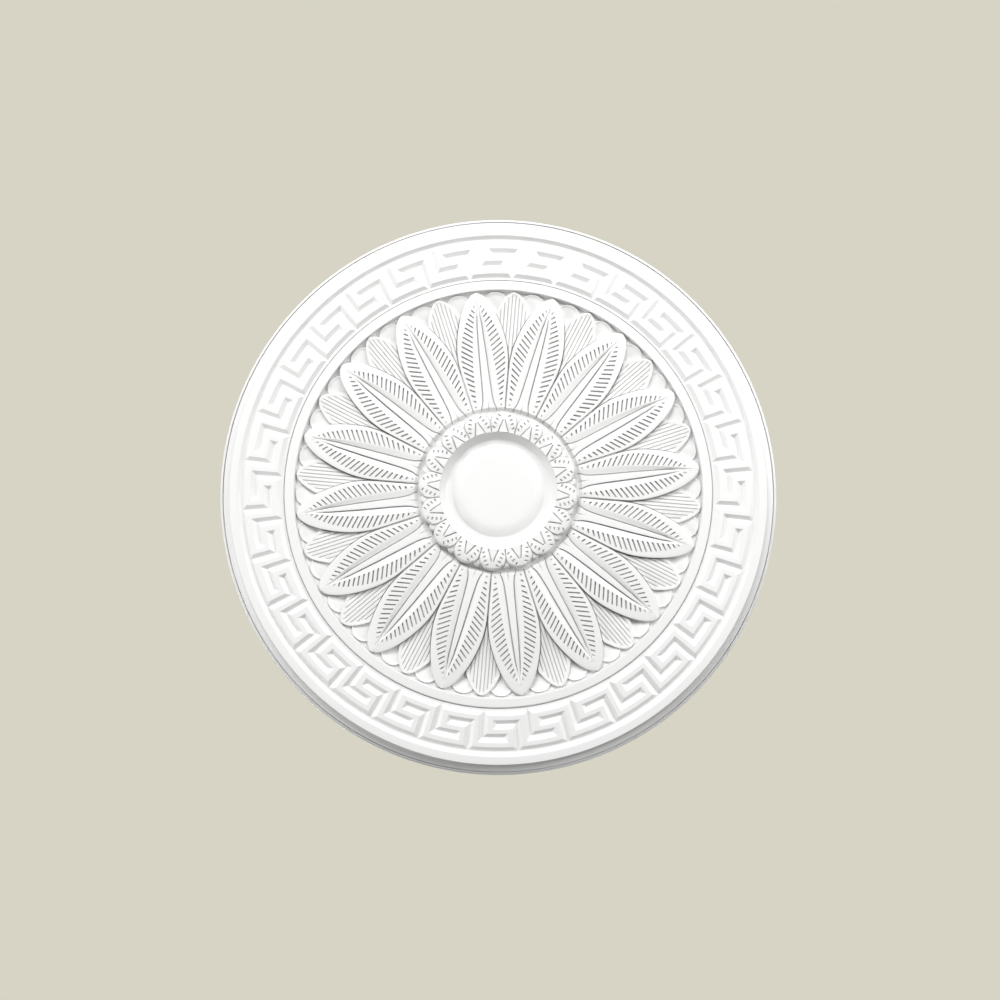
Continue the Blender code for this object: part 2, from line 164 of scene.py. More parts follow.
def body_rings():
    """Rings from the middle of the back, round the edge and over the face: radius, drop, kind.

    A fine ring has every spoke of the key band; a plain one has one spoke in four.
    """
    hollow = []
    for i in range(hollow_steps + 1):
        turn = math.pi / 2 * i / hollow_steps
        radius = hollow_radius - (hollow_radius - rim_outer) * math.sin(turn)
        drop = rim_drop - rim_lip - (rim_drop - rim_lip - hollow_drop) * math.cos(turn)
        hollow.append((radius, drop, 0))
    edge = [
        (back_ring, 0.0, 0), (outer_radius, 0.0, 0.4),
        (fillet_radius, fillet_drop, 0.8), (bead_radius, fillet_drop, 0.3),
        (bead_radius - bead_wall, bead_drop, 0.2), (edge_quirk[0] + quirk_wall, bead_drop, 0),
        (edge_quirk[0], edge_quirk_drop, 0), (edge_quirk[1], edge_quirk_drop, 0),
        *hollow, (rim_outer, rim_drop, 0.7), (fine_outer + ring_change, rim_drop, 0),
    ]
    rim_wall = [
        (fine_outer, rim_drop, 0), (rim_inner, rim_drop, 0.7),
        (band_outer, key_floor_drop, 0.7), (band_outer - groove_margin, key_floor_drop, 0),
    ]
    key_walls = (
        (key_out, outer_groove_wall), (fret_high, -trench_wall), (fret_high - trench, trench_wall),
        (fret_low + trench, -trench_wall), (fret_low, trench_wall), (key_in, -inner_groove_wall),
    )
    step = [
        (ring_quirk[0] + quirk_wall + quirk_margin, key_floor_drop, 0),
        (ring_quirk[0] + quirk_wall, key_floor_drop, 0),
        (ring_quirk[0], ring_quirk_drop, 0), (ring_quirk[1], ring_quirk_drop, 0),
        (band_inner, key_floor_drop, 0), (ring_outer, ring_drop, 0.5), (fine_inner, ring_drop, 0),
    ]
    dish = [
        (fine_inner - ring_change, ring_drop, 0), (ring_inner, ring_drop, 0.6),
        (dish_wall_foot, dish_wall_drop, 0), (dish_outer, dish_drop, 0), (dish_inner, dish_drop, 0),
        (bed_outer, bed_drop, 0), (well_radius, bed_drop, 0),
        (well_radius - well_wall, well_drop, 0), (under_hub_radius, well_drop, 0),
    ]
    rings = [(*point, "plain") for point in rounded(edge)]
    rings += [(*point, "fine") for point in rounded(rim_wall)]
    rings += [(radius, None, "fine") for radius in sorted(wall_rows(key_walls), reverse=True)]
    rings += [(*point, "fine") for point in rounded(step)]
    rings += [(*point, "plain") for point in rounded(dish)]
    return rings


def key_spokes():
    """Places along one unit of the key band, in millimetres, where a wall starts, bends or ends."""
    walls = (
        (-half_trench, trench_wall), (half_trench, -trench_wall),
        (half_trench + bar, trench_wall), (arm_end, -trench_wall),
        (second_middle - half_trench, trench_wall), (second_middle + half_trench, -trench_wall),
    )
    lines = wall_rows(walls)
    lines += [(half_trench + bar + arm_end) / 2, (arm_end + second_middle - half_trench) / 2]
    return sorted(lines)


def mesh_piece(name, points, faces, material, sharp_degrees=50):
    """A smooth-shaded object from points in millimetres and faces.

    A point is x, y and drop, and how much painted shade it takes, from 0 to 1, full in a narrow cut.
    """
    table = np.array(points, dtype=float)
    mesh = bpy.data.meshes.new(name)
    mesh.from_pydata((table[:, :3] * (MM, MM, DOWN)).tolist(), [], faces)
    # The painted shade goes into the mesh as its cut attribute.
    cut = mesh.attributes.new("cut", "FLOAT", "POINT")
    cut.data.foreach_set("value", table[:, 3])
    mesh.shade_smooth()
    mesh.set_sharp_from_angle(angle=math.radians(sharp_degrees))
    mesh.materials.append(material)
    piece = bpy.data.objects.new(name, mesh)
    bpy.context.scene.collection.objects.link(piece)
    weighted = piece.modifiers.new("even shading", "WEIGHTED_NORMAL")
    weighted.keep_sharp = True
    weighted.weight = 60
    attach(piece, "root")
    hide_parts("ceiling_rose")
    return piece


def joined_rings(rings, starts, points, along_centres):
    """Faces between the body's rings, split along the key band's mitres where they aren't level."""
    fine = len(along_centres)
    plain = fine // spoke_step
    faces = []
    for ring in range(len(rings) - 1):
        near, far = starts[ring], starts[ring + 1]
        kinds = (rings[ring][2], rings[ring + 1][2])
        if kinds == ("plain", "fine"):
            for j in range(plain):
                fan = [far + (spoke_step * j + k) % fine for k in range(spoke_step + 1)]
                faces.append((near + j, *fan, near + (j + 1) % plain))
        elif kinds == ("fine", "plain"):
            for j in range(plain):
                fan = [near + (spoke_step * j + k) % fine for k in range(spoke_step, -1, -1)]
                faces.append((*fan, far + j, far + (j + 1) % plain))
        elif kinds == ("plain", "plain"):
            for j in range(plain):
                k = (j + 1) % plain
                faces.append((near + j, far + j, far + k, near + k))
        else:
            radius = (rings[ring][0] + rings[ring + 1][0]) / 2
            centre = key_surface(np.full(fine, radius), along_centres)
            for j in range(fine):
                k = (j + 1) % fine
                a, b, c, d = near + j, far + j, far + k, near + k
                ac = (points[a][2] + points[c][2]) / 2
                bd = (points[b][2] + points[d][2]) / 2
                if abs(ac - bd) < level_within:
                    faces.append((a, b, c, d))
                elif abs(ac - centre[j]) < abs(bd - centre[j]):
                    faces += [(a, b, c), (a, c, d)]
                else:
                    faces += [(a, b, d), (b, c, d)]
    return faces


def body_mesh():
    """Points and faces of the whole body, from the middle of its back to the well under the hub."""
    unit = key_spokes()
    along = np.array(unit * key_units)
    units_before = np.repeat(np.arange(key_units), len(unit))
    angles = key_start + (along + units_before * key_pitch) / key_middle
    steps = np.append(np.diff(unit), unit[0] + key_pitch - unit[-1])
    along_centres = along + np.tile(steps, key_units) / 2
    points, starts = [(0.0, 0.0, 0.0, 0.0)], []
    rings = body_rings()
    for radius, drop, kind in rings:
        pick = slice(None) if kind == "fine" else slice(0, None, spoke_step)
        if drop is None:
            drops = key_surface(np.full(len(along), radius), along)
        else:
            drops = np.full(len(angles[pick]), drop)
        starts.append(len(points))
        xs, ys = radius * np.cos(angles[pick]), radius * np.sin(angles[pick])
        # The rings at the floors of the quirks take full painted shade.
        painted_shade = float(radius in edge_quirk + ring_quirk)
        points += [(x, y, z, painted_shade) for x, y, z in zip(xs, ys, drops)]
    plain = len(angles) // spoke_step
    faces = [(0, starts[0] + j, starts[0] + (j + 1) % plain) for j in range(plain)]
    faces += joined_rings(rings, starts, points, along_centres)
    last = starts[-1]
    points.append((0.0, 0.0, well_drop, 0.0))
    faces += [(last + j, len(points) - 1, last + (j + 1) % plain) for j in range(plain)]
    return points, faces


def linear(hex_colour):
    """Linear RGBA of an sRGB hex colour."""
    levels = [int(hex_colour[i:i + 2], 16) / 255 for i in (1, 3, 5)]
    return (*[c / 12.92 if c <= 0.04045 else ((c + 0.055) / 1.055) ** 2.4 for c in levels], 1.0)


def add_node(tree, kind, settings=None, values=None, links=None):
    """Adds a node with its settings and socket values, and links other sockets into it."""
    node = tree.nodes.new(kind)
    for name, value in (settings or {}).items():
        setattr(node, name, value)
    for name, value in (values or {}).items():
        node.inputs[name].default_value = value
    for name, source in (links or {}).items():
        tree.links.new(source, node.inputs[name])
    return node


# Rigid polyurethane foam, moulded and then primed: an even white skin, matt with a soft sheen.
# The narrow cuts and the walls down between parts are painted a little greyer: painted shade,
# standing for the shade that falls in them. The primer leaves a faint orange peel, whose grain of
# under a millimetre is drawn at 1.6 mm. The tint drifts over 60 mm.
tint_patch = 60.0 * MM
peel_grain = 1.6 * MM
peel_height = 0.2 * MM


def primed_polyurethane_painted_shade():
    """The one material of the rose, with painted shade: greyer where a point has a cut value."""
    material = bpy.data.materials.new("primed moulded polyurethane with painted shade")
    material.use_nodes = True
    tree = material.node_tree
    shader = tree.nodes["Principled BSDF"]
    shader.inputs["Roughness"].default_value = 0.5
    shader.inputs["IOR"].default_value = 1.5
    place = add_node(tree, "ShaderNodeTexCoord")
    cloud = add_node(tree, "ShaderNodeTexNoise", None, {"Scale": 1 / tint_patch, "Detail": 3.0},
                     {"Vector": place.outputs["Object"]})
    tint = add_node(tree, "ShaderNodeMix", {"data_type": "RGBA"}, None,
                    {"Factor": cloud.outputs["Fac"]})
    tint.inputs["A"].default_value = linear("#E8E8E7")
    tint.inputs["B"].default_value = linear("#ECECEB")
    # The cut attribute holds how much painted shade a point takes, from 0 to 1.
    cut = add_node(tree, "ShaderNodeAttribute", {"attribute_name": "cut"})
    shade_paint_mix = add_node(tree, "ShaderNodeMix", {"data_type": "RGBA"}, None,
                    {"Factor": cut.outputs["Fac"]})
    tree.links.new(tint.outputs["Result"], shade_paint_mix.inputs["A"])
    # The grey of full painted shade, which stands for the shade in the cuts.
    shade_paint_mix.inputs["B"].default_value = linear("#C2C2C0")
    tree.links.new(shade_paint_mix.outputs["Result"], shader.inputs["Base Color"])
    peel = add_node(tree, "ShaderNodeTexNoise", None, {"Scale": 1 / peel_grain, "Detail": 2.0},
                    {"Vector": place.outputs["Object"]})
    bump = add_node(tree, "ShaderNodeBump", None, {"Strength": 0.08, "Distance": peel_height},
                    {"Height": peel.outputs["Fac"]})
    tree.links.new(bump.outputs["Normal"], shader.inputs["Normal"])
    return material


white = primed_polyurethane_painted_shade()
mesh_piece("body", *body_mesh(), white)

# The sixteen long petals of the front row. Each is carved with a raised tapering rib in a sunk
# panel, a row of slanting veins down each side and a plain border along its edge.
# They are moulded in one with the body, parted from each other only by narrow cuts.
petals = 16
petal_pitch = TURN / petals
petal_foot = 88.6
petal_tip = 214.6
petal_widest = 150.0
petal_half_width = 26.7
petal_gap = 1.5
petal_root_drop = 14.5
gap_bend = 0.8
foot_slope = 3.4
foot_length = 9.0
foot_sink = 0.4

# Heights along the middle, and the fall from the panel's edge to the petal's.
crest_start = 82.0
crest_foot_drop = 25.2
crest_tip_drop = 23.0
crest_arch = 1.5
channel_depth = 2.3
edge_fall = 0.5
edge_fall_curve = 1.6
edge_bevel = 0.5
edge_bevel_width = 0.6
# How much painted shade the petal's bevelled edge takes.
edge_shade = 0.4
narrowest = 0.1

# The panel and its rib. A table gives a size by its distance from the rose's centre.
panel_start = 88.0
panel_end = 205.0
panel_half_width = 12.2
rib_half_widths = {88: 7.6, 93: 5.6, 100: 4.6, 113: 4.0, 148: 3.2, 180: 1.9, 198: 0.0}
rib_rise = 2.1
rib_full_rise_from = 2.5
rib_bend = 1.0
rib_bend_fall = 0.15
rib_wall = 0.2
rib_groove = 1.3
rib_groove_full_from = 1.5
rib_groove_floor_end = 0.9
rib_groove_end = 1.3
rib_notch = 1.2
rib_notch_half_width = 0.7

# The veins, as shares of their spacing where they cut in, and their slant from straight across.
petal_border = 2.9
vein_zone_widest = 140.0
vein_zone_end = 206.0
vein_zone_half_width = 23.4
vein_count = 22
first_vein = 91.0
vein_spacing = 5.3
vein_depth = 2.5
vein_top = 0.18
vein_floor = 0.08
between_veins = 0.5
vein_inset = 0.3
vein_end = 0.5
vein_full_depth_length = 4.0
row_slants = {88: 2, 95: 15, 107: 28, 130: 33, 160: 36, 182: 42, 203: 56, 214: 60}
tip_rows = (0.3, 0.55, 0.75, 0.9, 0.98)
channel_columns = (0.35, 0.7, 1)
vein_columns = (0.3, 0.5, 0.7)
column_step = 0.012
halvings = 40


def mix(a, b, share):
    """The value at a share of the way from a to b."""
    return a + (b - a) * share


def smooth(low, high, value):
    """0 up to low and 1 from high on, with a soft S curve between them."""
    share = np.clip((value - low) / (high - low), 0.0, 1.0)
    return share * share * (3 - 2 * share)


def from_table(table, y):
    """The size that a table gives at this distance from the rose's centre."""
    return np.interp(y, list(table), list(table.values()))


def tapered(y, widest, end, half_width, fullness, bluntness=1.0):
    """Half width of a form that is full at its widest place and closes at its end."""
    share = np.clip((y - widest) / (end - widest), 0.0, 1.0)
    return half_width * (1 - share ** fullness) ** bluntness


def petal_outline(y):
    """Half width of a petal: its own rounded end, or half the way to the next petal."""
    own = tapered(y, petal_widest, petal_tip, petal_half_width, fullness=1.6, bluntness=0.55)
    valley = y * math.tan(petal_pitch / 2) - petal_gap / 2
    return -gap_bend * np.log(np.exp(-own / gap_bend) + np.exp(-valley / gap_bend))


def vein_zone_outline(y):
    """Half width up to the border, which is narrow along the sides and wider at the tip."""
    own = tapered(y, vein_zone_widest, vein_zone_end, vein_zone_half_width, fullness=1.9,
                  bluntness=0.9)
    return np.minimum(own, petal_outline(y) - petal_border)


def length_share(y):
    """How far along the crest a place is, from 0 at its start to 1 at the tip."""
    return np.clip((y - crest_start) / (petal_tip - crest_start), 0.0, 1.0)


def crest_drop(y):
    """Drop of the petal along its panel's edge."""
    share = length_share(y)
    return mix(crest_foot_drop, crest_tip_drop, share) + crest_arch * np.sin(math.pi * share)


def petal_surface(y, x, rib, panel, edge):
    """Drop of a front petal's plain surface: a hollow channel up to the panel's edge, then a fall."""
    if x < panel:
        reach = np.clip((x - rib) / max(panel - rib, narrowest), 0.0, 1.0)
        depth = channel_depth * math.sqrt(math.sin(math.pi * length_share(y)))
        return crest_drop(y) - depth * (0.5 + 0.5 * math.cos(math.pi * reach))
    reach = (x - panel) / max(edge - panel, narrowest)
    return crest_drop(y) - edge_fall * reach ** edge_fall_curve


def crossing(start, slant, corner, outline):
    """Where a slanting row meets an outline: the row leaves y = start at x = corner."""
    low, high = 0.0, petal_half_width + 1
    for _ in range(halvings):
        x = (low + high) / 2
        y = start + slant * max(0.0, x - corner)
        if x < outline(min(y, petal_tip)) and y < petal_tip:
            low = x
        else:
            high = x
    return (low + high) / 2


def foot_share(start):
    """1 at the petal's foot, falling to 0 where the plain length begins."""
    return np.clip(1 - (start - petal_foot) / foot_length, 0.0, 1.0)


def petal_columns(start, off_vein):
    """Places across half a petal on one row, each with its height over the plain surface and its
    painted shade.
    """
    slant = math.tan(math.radians(from_table(row_slants, start)))
    panel = tapered(start, panel_start, panel_end, panel_half_width, fullness=2.6)
    edge = crossing(start, slant, panel, petal_outline)
    veins_out = max(crossing(start, slant, panel, vein_zone_outline), panel + narrowest)
    veins_in = panel + vein_inset
    rib = from_table(rib_half_widths, start)
    rise = rib_rise * min(1.0, rib / rib_full_rise_from)
    rise *= math.sqrt(math.sin(math.pi * length_share(start)))
    in_groove = min(1.0, rib / rib_groove_full_from)
    groove = -rib_groove * in_groove
    in_notch = foot_share(start)
    in_vein = np.clip((vein_top - off_vein) / (vein_top - vein_floor), 0.0, 1.0)
    in_vein *= np.clip((veins_out - veins_in) / vein_full_depth_length, 0.0, 1.0)
    cut = -vein_depth * in_vein
    groove_end = rib + rib_groove_end
    # A column's last value is its painted shade: full in the rib's notch, its groove and the veins.
    columns = [
        (0.0, rise - rib_notch * in_notch, in_notch), (rib_notch_half_width, rise, 0),
        (rib - rib_bend, rise, 0), (rib - rib_wall, rise - rib_bend_fall, 0),
        (rib + rib_wall, groove, in_groove), (rib + rib_groove_floor_end, groove, in_groove),
        (groove_end, 0, 0),
    ]
    columns += [(mix(groove_end, panel, share), 0, 0) for share in channel_columns]
    columns += [(veins_in, 0, 0), (veins_in + vein_end, cut, in_vein)]
    columns += [(mix(veins_in, veins_out, share), cut, in_vein) for share in vein_columns]
    columns += [
        (veins_out - vein_end, cut, in_vein), (veins_out, 0, 0), (mix(veins_out, edge, 0.5), 0, 0),
        (edge - edge_bevel_width, 0, 0), (edge, -edge_bevel, edge_shade),
    ]
    xs = [0.0]
    for x, *_ in columns[1:]:
        xs.append(max(x, xs[-1] + column_step * edge))
    fit = edge / xs[-1]
    columns = [(x * fit, height, painted_shade) for x, (_, height, painted_shade) in zip(xs, columns)]
    return columns, slant, rib, panel, edge


def grid_faces(points, rows):
    """Faces between rows of points that lie one after another in a list."""
    count = len(points) // rows
    corners = [(i * count + j, i * count + j + 1) for i in range(rows - 1) for j in range(count - 1)]
    return [(a, b, b + count, a + count) for a, b in corners]


def front_petal():
    """One petal with its middle along +X: rows follow the veins, columns run along the petal."""
    rows = [(petal_foot - foot_slope, between_veins, 1.0), (petal_foot, between_veins, 0.0)]
    for vein in range(vein_count):
        for part in (-vein_top, -vein_floor, vein_floor, vein_top, between_veins):
            rows.append((first_vein + vein_spacing * (vein + part), abs(part), 0.0))
    last = rows[-1][0]
    rows += [(mix(last, petal_tip, share), between_veins, 0.0) for share in tip_rows]
    points = []
    for start, off_vein, sunk in rows:
        half, slant, rib, panel, edge = petal_columns(start, off_vein)
        across = [(-x, height, painted_shade) for x, height, painted_shade in half[:0:-1]] + half
        line = []
        for x, height, painted_shade in across:
            far = abs(x)
            y = start + slant * max(0.0, far - panel)
            y -= foot_share(start) * (start - math.sqrt(start ** 2 - far ** 2))
            y = min(y, petal_tip)
            drop = petal_surface(y, far, rib, panel, edge) + height
            line.append((y, x, mix(drop, well_drop - foot_sink, sunk), painted_shade))
        first, final = line[0], line[-1]
        # The walls down to the root between petals take full painted shade.
        points += [(*first[:2], petal_root_drop, 1), *line, (*final[:2], petal_root_drop, 1)]
    return np.array(points), grid_faces(points, len(rows))


def repeated(points, faces, count, share=0.0):
    """The same shape at even angles round the rose, starting at a share of the pitch."""
    all_points, all_faces = [], []
    for i in range(count):
        angle = (i + share) * TURN / count
        cos, sin = math.cos(angle), math.sin(angle)
        xs = points[:, 0] * cos - points[:, 1] * sin
        ys = points[:, 0] * sin + points[:, 1] * cos
        all_points.append(np.column_stack((xs, ys, points[:, 2:])))
        all_faces += [tuple(k + i * len(points) for k in face) for face in faces]
    return np.vstack(all_points), all_faces


mesh_piece("front_petals", *repeated(*front_petal(), petals), white, sharp_degrees=40)

# The petals of the row behind, half a pitch round, which show between the tips of the front row.
# They have the same outline, set lower, with a plain border and fine cuts running lengthwise.
# They are moulded with the rest; a narrow moat beside the front petals' edges draws their outline.
back_rows = np.concatenate((np.linspace(132.0, 196.0, 26), np.linspace(198.0, 214.5, 15)))
back_widest = 25.5
back_ridge_start = 122.0
back_ridge_drop = 23.4
back_tip_drop = 22.6
back_dip = 2.8
back_dip_curve = 1.6
back_crown = 0.9
back_cut_spacing = 3.8
back_cut_half_width = 0.7
back_cut_depth = 1.1
back_cuts_a_side = 8
back_cut_fade = 0.8
back_border = 3.4
back_tip_border = 1.3  # times the distance to the tip
border_rise = 0.6
border_slope = 0.6
moat_width = 1.3
moat_depth = 2.1
moat_wall = 0.15
moat_under_petal = 0.6
sliver = 0.05


def front_edge_beside(y):
    """How far from a back petal's middle the edges of the front petals beside it are."""
    turn = petal_pitch / 2
    low, high = 0.0, y * math.tan(turn)
    for _ in range(halvings):
        x = (low + high) / 2
        along = y * math.cos(turn) + x * math.sin(turn)
        beside = y * math.sin(turn) - x * math.cos(turn)
        if along > petal_tip or beside > petal_outline(along):
            low = x
        else:
            high = x
    return (low + high) / 2


def back_surface(y, x):
    """Drop of a back petal, with its raised border and lengthwise cuts, and its painted shade, full in
    a cut.
    """
    share = (y - back_ridge_start) / (petal_tip - back_ridge_start)
    dip = back_dip * math.sin(math.pi * share ** back_dip_curve)
    own = float(petal_outline(y))
    inwards = min(own - abs(x), (petal_tip - y) * back_tip_border)
    drop = mix(back_ridge_drop, back_tip_drop, share) - dip
    drop -= back_crown * (x / max(own, 1.0)) ** 2
    drop += border_rise * smooth(back_border, back_border - border_slope, inwards)
    turn = abs(x) / back_cut_spacing
    off = abs(turn - math.floor(turn) - 0.5) * back_cut_spacing
    cut = max(0.0, 1 - off / back_cut_half_width)
    cut *= smooth(back_border, back_border + back_cut_fade, inwards)
    return drop - back_cut_depth * cut, cut


def back_petal():
    """One petal of the row behind with its middle along +X, from under the front row to its tip."""
    side_cuts = [(k + 0.5) * back_cut_spacing for k in range(-back_cuts_a_side, back_cuts_a_side)]
    lines = [cut + back_cut_half_width * part for cut in side_cuts for part in (-1, 0, 1)]
    lines = np.array(sorted([*lines, 0.0, back_widest, -back_widest]))
    points = []
    for y in back_rows:
        own = float(petal_outline(y))
        beside = front_edge_beside(y)
        covered = own > beside - moat_width
        open_half = max(min(own, beside - moat_width), sliver)
        line = [(y, x, *back_surface(y, x)) for x in np.clip(lines, -open_half, open_half)]
        foot = open_half + moat_wall
        if covered:
            floor = back_surface(y, open_half)[0] - moat_depth
            ends = [(foot, floor), (max(beside, open_half) + moat_under_petal, floor)]
        else:
            ends = [(foot, petal_root_drop), (foot + sliver, petal_root_drop - 2 * sliver)]
        # The moat and the wall at the petal's open side take full painted shade.
        left = [(y, -x, drop, 1) for x, drop in ends[::-1]]
        points += left + line + [(y, x, drop, 1) for x, drop in ends]
    return np.array(points), grid_faces(points, len(back_rows))


mesh_piece("back_petals", *repeated(*back_petal(), petals, share=0.5), white, sharp_degrees=40)

# The small smooth tips at the outside of the dish, one on each side of every petal's tip, lowest
# of the three rows. They are moulded with the rest, each with a slightly raised rounded border.
small_tip_end = 215.2
small_tip_widest = 196.0
small_tip_half_width = 15.5
small_tip_fullness = 2.2
small_tip_rows = (188, 194, 199, 203, 206, 208.5, 210.5, 212, 213.2, 214.1, 214.8)
small_tip_columns = (-1, -0.93, -0.86, -0.78, -0.5, -0.2, 0, 0.2, 0.5, 0.78, 0.86, 0.93, 1)
small_tip_drop = 20.8
small_tip_slope = 0.27
small_tip_slope_length = 19.0
small_tip_crown = 0.6
small_border = 1.6
small_border_slope = 0.8
small_border_rise = 0.9
small_border_end = 0.9  # times the distance to the end
small_edge_bevel = 0.5
small_point = 0.05


def small_tip():
    """One small tip with its middle along +X, closed by a narrow last row at its end."""
    points = []
    for y in small_tip_rows:
        share = max(0.0, (y - small_tip_widest) / (small_tip_end - small_tip_widest))
        edge = small_tip_half_width * math.sqrt(1 - share ** small_tip_fullness)
        slope = small_tip_slope * min(small_tip_end - y, small_tip_slope_length)
        line = []
        for part in small_tip_columns:
            inwards = min(edge * (1 - abs(part)), (small_tip_end - y) * small_border_end)
            rise = small_border_rise * smooth(small_border + small_border_slope, small_border, inwards)
            rise -= small_edge_bevel * smooth(small_edge_bevel, 0.0, inwards)
            drop = small_tip_drop - slope - small_tip_crown * part ** 2 + rise
            line.append((y, part * edge, drop, 0))
        # The tip's walls down to the root take full painted shade.
        points += [(y, -edge, petal_root_drop, 1), *line, (y, edge, petal_root_drop, 1)]
    ends = np.linspace(-small_point, small_point, len(small_tip_columns) + 2)
    points += [(small_tip_end, x, petal_root_drop, 1) for x in ends]
    return np.array(points), grid_faces(points, len(small_tip_rows) + 1)


mesh_piece("small_tips", *repeated(*small_tip(), 2 * petals, share=0.5), white)

# The hub: a ring of sixteen small leaves, the hollow inside it and the plain round boss.
# Each leaf has a wedge-shaped rib and short veins, with the tips of more leaves behind, all
# moulded in one with the rest.
leaf_half_pitch = petal_pitch / 2
leaf_foot = 61.8
leaf_round = 70.0
leaf_shoulder = 72.0
leaf_tip = 84.2
leaf_foot_drop = 31.4
leaf_shoulder_drop = 32.5
leaf_end_fall = 2.4
leaf_end_curve = 1.5
leaf_crown = 0.7
leaf_edge_round = 3.0
leaf_edge_curve = 1.7
lowest_drop = 33.0
behind_length = 10.6
behind_half_width = 5.5

# The cuts between the leaves, which are deeper beside the tips behind, and the leaves' ribs.
# A pair says how far out a cut's wall ends, and how far out its full depth does; line_shade says
# how far out the painted shade in the cuts between the leaves ends, and how far out it is full.
leaf_line = 0.45
leaf_line_depth = 1.7
behind_depth = 1.8
behind_from = 0.3
line_bend = 0.2
line_shade = (1.6, 0.9)

leaf_rib_half_width = 4.8
leaf_rib_length = 13.5
leaf_rib_rise = 1.2
leaf_rib_bend = 0.25
leaf_groove_depth = 1.3
leaf_groove_wall = 0.3
leaf_groove = (1.3, 1.0)

# The short veins beside the rib: the first one's radius, and each next one's step outwards; the
# first one's distance from the leaf's middle, and how the next ones move in from there.
leaf_veins = 4
leaf_vein_slope = math.radians(35)
leaf_vein_depth = 1.5
leaf_vein_start = 66.8
leaf_vein_step = 4.1
leaf_vein_across = 10.2
leaf_vein_inwards = (1.1, 0.175)  # times the vein's number, and times its square
leaf_vein_half_length = (1.9, 1.4)
leaf_vein_half_width = (0.8, 0.35)

# The hub's wall outside, the slope inside the leaves, the hollow and the boss.
hub_wall_foot_drop = 19.5
hub_wall_slope = 0.15
hub_wall_bend = 0.1
hub_wall_bend_drop = 0.9
# Painted shade on the hub's outer wall: at its foot, and at its bend.
hub_wall_shade = (0.6, 0.3)
inner_rim = ((0.3, 30.6), (0.7, 30.1))
inner_slope_drop = 31.0
boss_hollow_outer = 54.8
boss_hollow_inner = 49.0
boss_hollow_drop = 22.0
boss_edge = 48.4
boss_edge_drop = 22.3
boss_flat = 36.0
boss_curve = 1.9
boss_drop = 26.0
boss_middle = 20.0
boss_first_row = 0.94
leaf_columns = 60
leaf_rows = 47
boss_rows = 12


def leaf_edge(side):
    """Radius of the leaf ring's outline: a leaf's rounded end, or the tip of the leaf behind."""
    half = leaf_half_pitch * leaf_round
    end = leaf_round + (leaf_tip - leaf_round) * math.sqrt(max(0.0, 1 - side ** 2))
    behind = (1 - abs(side)) * half / behind_half_width
    end_behind = leaf_shoulder + behind_length * math.sqrt(max(0.0, 1 - behind ** 2))
    return max(end, end_behind)


def leaf_face(radius, side, across, half):
    """Drop of the leaves' plain face, which bends up at their ends and a little to their sides."""
    rising = mix(leaf_foot_drop, leaf_shoulder_drop, smooth(leaf_foot, leaf_shoulder, radius))
    beyond = np.clip((radius - leaf_shoulder) / (leaf_tip - leaf_shoulder), 0, 1)
    falling = leaf_shoulder_drop - leaf_end_fall * beyond ** leaf_end_curve
    face = np.where(radius < leaf_shoulder, rising, falling) - leaf_crown * (across / half) ** 2
    from_end = leaf_edge(side) - radius
    return face - leaf_edge_round * np.clip(1 - from_end / leaf_edge_round, 0, 1) ** leaf_edge_curve


def leaf_drop(radius, side):
    """Drop of the leaf ring, and its painted shade, full in a cut; side runs from -1 to 1 across a
    leaf.
    """
    half = leaf_half_pitch * radius
    across = np.abs(side) * half
    face = leaf_face(radius, side, across, half)
    rounding = np.clip((radius - leaf_round) / (leaf_tip - leaf_round), 0.0, 1.0)
    leaf_half = (half - leaf_line) * np.sqrt(1 - rounding ** 2)
    line_depth = mix(leaf_line_depth, behind_depth, smooth(0.0, behind_from, rounding))
    beyond = smooth(leaf_half - line_bend, leaf_half + line_bend, across)
    face = face - line_depth * beyond
    painted_shade = beyond * smooth(leaf_half + line_shade[0], leaf_half + line_shade[1], across)
    rib = leaf_rib_half_width * (1 - (radius - leaf_foot) / leaf_rib_length)
    rise = leaf_rib_rise * np.clip(rib / leaf_rib_half_width, 0, 1)
    face = face + rise * smooth(rib + leaf_rib_bend, rib - leaf_rib_bend, across)
    beside_rib = smooth(rib, rib + leaf_groove_wall, across) * (rib > leaf_groove_wall)
    beside_rib = beside_rib * smooth(rib + leaf_groove[0], rib + leaf_groove[1], across)
    face = face - leaf_groove_depth * beside_rib
    painted_shade = np.maximum(painted_shade, beside_rib)
    cos, sin = math.cos(leaf_vein_slope), math.sin(leaf_vein_slope)
    for vein in range(leaf_veins):
        inwards = leaf_vein_inwards[0] * vein + leaf_vein_inwards[1] * vein ** 2
        x = across - (leaf_vein_across - inwards)
        y = radius - (leaf_vein_start + leaf_vein_step * vein)
        cut = smooth(*leaf_vein_half_length, np.abs(x * cos + y * sin))
        cut = cut * smooth(*leaf_vein_half_width, np.abs(y * cos - x * sin))
        face = face - leaf_vein_depth * cut
        painted_shade = np.maximum(painted_shade, cut)
    return np.minimum(face, lowest_drop), painted_shade


